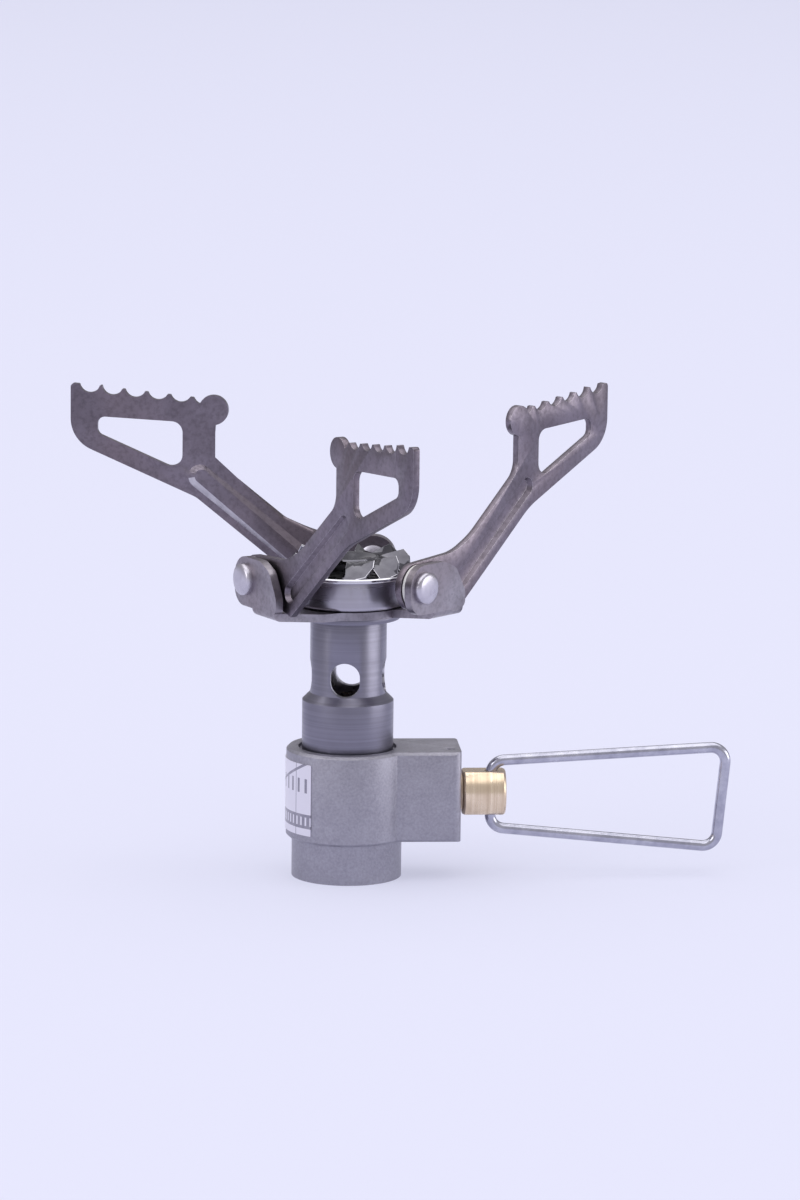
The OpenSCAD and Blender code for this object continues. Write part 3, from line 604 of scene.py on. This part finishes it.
skirt_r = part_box("burner_cup")[1][0] - 0.95 * MM
crown_rim = ring_band("crown_rim", [
    (rim_r - 0.1 * MM, rim_z), (rim_r, rim_z + 0.14 * MM),
    (rim_r - 0.02 * MM, rim_z + 0.4 * MM), (rim_r - 0.16 * MM, rim_z + 0.54 * MM),
    (rim_r - 0.75 * MM, rim_z + 0.58 * MM), (rim_r - 0.8 * MM, rim_z + 0.3 * MM),
    (skirt_r - 0.3 * MM, rim_z + 0.05 * MM), (skirt_r - 0.3 * MM, crown_low[2]),
    (skirt_r, crown_low[2]), (skirt_r, rim_z - 0.1 * MM),
])
# The rolled rim gets the bright steel: its polish plus a painted highlight all round.
crown_rim.data.materials.append(bright_rim_and_painted_glint)
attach(crown_rim, "stove")
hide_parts("burner_crown")

hub_z = crown_high[2] - 0.9 * MM
crown_hub = ring_band("crown_hub", [
    (0.02 * MM, hub_z - 0.75 * MM), (0.9 * MM, hub_z - 0.7 * MM),
    (2.3 * MM, hub_z - 0.05 * MM), (3.5 * MM, hub_z + 0.05 * MM),
    (3.8 * MM, hub_z - 0.15 * MM), (3.4 * MM, hub_z - 0.25 * MM),
    (2.35 * MM, hub_z - 0.38 * MM), (0.95 * MM, hub_z - 1.02 * MM),
    (0.02 * MM, hub_z - 1.07 * MM),
], steps=48)
crown_hub.data.materials.append(crown_steel)
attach(crown_hub, "stove")

# Corners of one sector: radius in mm, angle in degrees, height above the crown's rim.
hub_rise = (hub_z - rim_z) / MM
fin_rise = (crown_high[2] - rim_z) / MM
outer = rim_r / MM
sector_corners = [
    (outer - 0.35, 0, 0.5), (outer - 0.35, 11, 0.5), (outer - 0.4, 21, 0.75),
    (6.1, 1, 1.5), (6.2, 11, 1.75), (6.0, 22, 2.1),
    (3.4, 2, hub_rise), (3.4, 14, hub_rise - 0.05), (3.5, 26, hub_rise - 0.1),
    (outer - 0.55, 27, fin_rise * 0.72), (7.2, 31, fin_rise), (4.9, 32, fin_rise * 0.8),
]
first_fin_corner = 9
sector_faces = [
    (0, 1, 4, 3), (1, 2, 5, 4), (3, 4, 7, 6), (4, 5, 8, 7), (2, 9, 10, 5), (5, 10, 11, 8),
]
crown_pieces = []
for number in range(sectors):
    bpy.ops.object.select_all(action="DESELECT")
    lean = (0.0, 2.5, -2.0)[number % 3]
    stretch = (1.0, 0.88, 0.95)[number % 3]
    bpy.ops.mesh.primitive_plane_add(size=1)
    sector = bpy.context.active_object
    corners = []
    for index, (radius, angle, rise) in enumerate(sector_corners):
        fin = index >= first_fin_corner
        turn = math.radians(angle + number * 360 / sectors + 8 + (lean if fin else 0))
        height = rim_z + rise * MM * (stretch if fin else 1)
        corners.append((radius * MM * math.cos(turn), radius * MM * math.sin(turn), height))
    sheet = bpy.data.meshes.new(f"crown_sector_{number + 1}")
    sheet.from_pydata(corners, [], sector_faces)
    sector.data = sheet
    thick = sector.modifiers.new("sheet", "SOLIDIFY")
    thick.thickness = 0.28 * MM
    thick.offset = -1
    bpy.ops.object.modifier_apply(modifier=thick.name)
    crown_pieces.append(sector)
bpy.ops.object.select_all(action="DESELECT")
for sector in crown_pieces:
    sector.select_set(True)
bpy.context.view_layer.objects.active = crown_pieces[0]
bpy.ops.object.join()
crown_petals = bpy.context.active_object
crown_petals.name = "crown_petals"
crown_petals.data.materials.append(crown_steel)
crown_petals.data.materials.append(bright_rim_and_painted_glint)
bpy.ops.object.mode_set(mode="EDIT")
bpy.ops.mesh.select_all(action="SELECT")
bpy.ops.mesh.normals_make_consistent(inside=False)
bpy.ops.object.mode_set(mode="OBJECT")
# The petals' bevelled edges get the bright steel as painted glints against the dark facets.
break_edges(crown_petals, 0.06 * MM, turn_over=60, material=1)
bpy.ops.object.transform_apply(location=True, rotation=True, scale=True)
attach(crown_petals, "stove")

# ---- pan arms ----
# Three arms blanked from titanium sheet, toothed on top for a pot's grip, with a window
# to save weight and a bead pressed along the bar; the blanked edges stay bright.
arm_titanium = finish("arm_titanium", sheared, 1.0, 0.00005, 0.4,
                      Light=(0.225, 0.197, 0.237), Dark=(0.165, 0.142, 0.172),
                      Warm=(0.20, 0.165, 0.19), Patch=150.0, Grain=1600.0, Smoothest=0.3,
                      Roughest=0.44)


def slope_bead(arm, joint, level, inset):
    """Slopes the pressed bead's wall; the ridge's downward-facing side is given the bright
    edge material as a painted highlight.
    """
    pivot, axis = Vector(joint["pos_m"]), Vector(joint["axis"])
    flat = [v for v in arm.data.vertices if abs((v.co - pivot).dot(axis) - level) < 0.01 * MM]
    first = max(flat, key=lambda v: v.co.z).co.copy()
    last = min(flat, key=lambda v: v.co.z).co.copy()
    along = (first - last).normalized()
    middle = (first + last) / 2
    half = (first - last).length / 2 - inset[0]
    for vertex in flat:
        reach = max(-half, min(half, (vertex.co - middle).dot(along)))
        inward = middle + along * reach - vertex.co
        vertex.co += inward.normalized() * min(inset[1], inward.length * 0.9)
    arm.data.update()
    crest = {vertex.index for vertex in flat}
    for face in arm.data.polygons:
        wall = crest.intersection(face.vertices) and abs(face.normal.dot(axis)) < 0.97
        # Downward-facing ridge walls take the bright edge material: a painted highlight, not
        # wear.
        if wall and level < -0.5 * MM and face.normal.z < -0.1:
            face.material_index = 1


def ease_corners(arm, joint, reaches, turns, width, segments):
    """Rounds the outline's corners that lie and turn between the given limits."""
    pivot, axis = Vector(joint["pos_m"]), Vector(joint["axis"])
    bpy.ops.object.select_all(action="DESELECT")
    arm.select_set(True)
    bpy.context.view_layer.objects.active = arm
    normals = {}
    for face in arm.data.polygons:
        for key in face.edge_keys:
            normals.setdefault(tuple(sorted(key)), []).append(face.normal.copy())
    for part in (arm.data.vertices, arm.data.edges, arm.data.polygons):
        part.foreach_set("select", [False] * len(part))
    for edge in arm.data.edges:
        low, high = (arm.data.vertices[i].co for i in edge.vertices)
        side = normals[tuple(sorted(edge.vertices))]
        straight = abs((high - low).normalized().dot(axis)) > 0.999
        middle = (low + high) / 2 - pivot
        reach = (middle - axis * middle.dot(axis)).length
        if straight and len(side) == 2 and reaches[0] < reach < reaches[1]:
            edge.select = turns[0] < math.degrees(side[0].angle(side[1])) < turns[1]
    bpy.ops.object.mode_set(mode="EDIT")
    bpy.ops.mesh.select_mode(type="EDGE")
    bpy.ops.mesh.bevel(offset=width, segments=segments, clamp_overlap=True)
    bpy.ops.object.mode_set(mode="OBJECT")


folds = {joint["child"]: joint for joint in frame["joints"]}
pocket_floor, ridge_top = -0.15 * MM, -1.05 * MM
head_from, head_to = 27 * MM, 60 * MM
for side in ("left", "right", "front"):
    arm = own_copy(f"arm_{side}", f"arm_{side}_blanked", f"arm_{side}")
    arm.data.materials.append(arm_titanium)
    arm.data.materials.append(sheared_edge_and_painted_highlight)
    fold = folds[f"arm_{side}"]
    slope_bead(arm, fold, pocket_floor, (1.2 * MM, 0.45 * MM))
    slope_bead(arm, fold, ridge_top, (1.6 * MM, 0.95 * MM))
    ease_corners(arm, fold, (0, head_from), (9, 62), 1.5 * MM, 5)
    ease_corners(arm, fold, (head_from, head_to), (40, 170), 0.3 * MM, 3)
    break_edges(arm, 0.13 * MM, material=1)

# ---- rivets ----
# A stainless button rivet holds each arm to its ear, tight enough for the arm to stay
# where it is put. Its outer head is a short drum with a low dome, its inner end is set.
rivet_steel = finish("rivet_steel", blasted, 1.0, 0.00002, 0.25, Light=(0.60, 0.575, 0.64),
                     Dark=(0.46, 0.44, 0.5), Bead=800.0, Patch=260.0, Smoothest=0.26,
                     Roughest=0.38)
head_r, shank_r, inner_r = 2.08 * MM, 1.2 * MM, 1.9 * MM
ear_face, head_top = 2.0 * MM, 2.95 * MM
inner_face, inner_end = -0.6 * MM, -1.3 * MM
rivet_pieces = []
for joint in frame["joints"]:
    if not joint["name"].endswith("_fold"):
        continue
    rivet = ring_band("rivet", [
        (0.01 * MM, inner_end), (inner_r * 0.75, inner_end), (inner_r, inner_end + 0.25 * MM),
        (inner_r, inner_face), (shank_r, inner_face), (shank_r, ear_face), (head_r, ear_face),
        (head_r, head_top - 0.42 * MM), (head_r - 0.12 * MM, head_top - 0.24 * MM),
        (head_r - 0.45 * MM, head_top - 0.1 * MM), (head_r * 0.45, head_top - 0.02 * MM),
        (0.01 * MM, head_top),
    ], steps=48)
    axis = Vector(joint["axis"])
    rivet.rotation_euler = axis.to_track_quat("Z", "Y").to_euler()
    rivet.location = joint["pos_m"]
    bpy.ops.object.transform_apply(location=True, rotation=True, scale=True)
    rivet_pieces.append(rivet)
bpy.ops.object.select_all(action="DESELECT")
for rivet in rivet_pieces:
    rivet.select_set(True)
bpy.context.view_layer.objects.active = rivet_pieces[0]
bpy.ops.object.join()
rivets = bpy.context.active_object
rivets.name = "rivets_headed"
rivets.data.materials.append(rivet_steel)
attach(rivets, "stove")
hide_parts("rivets")
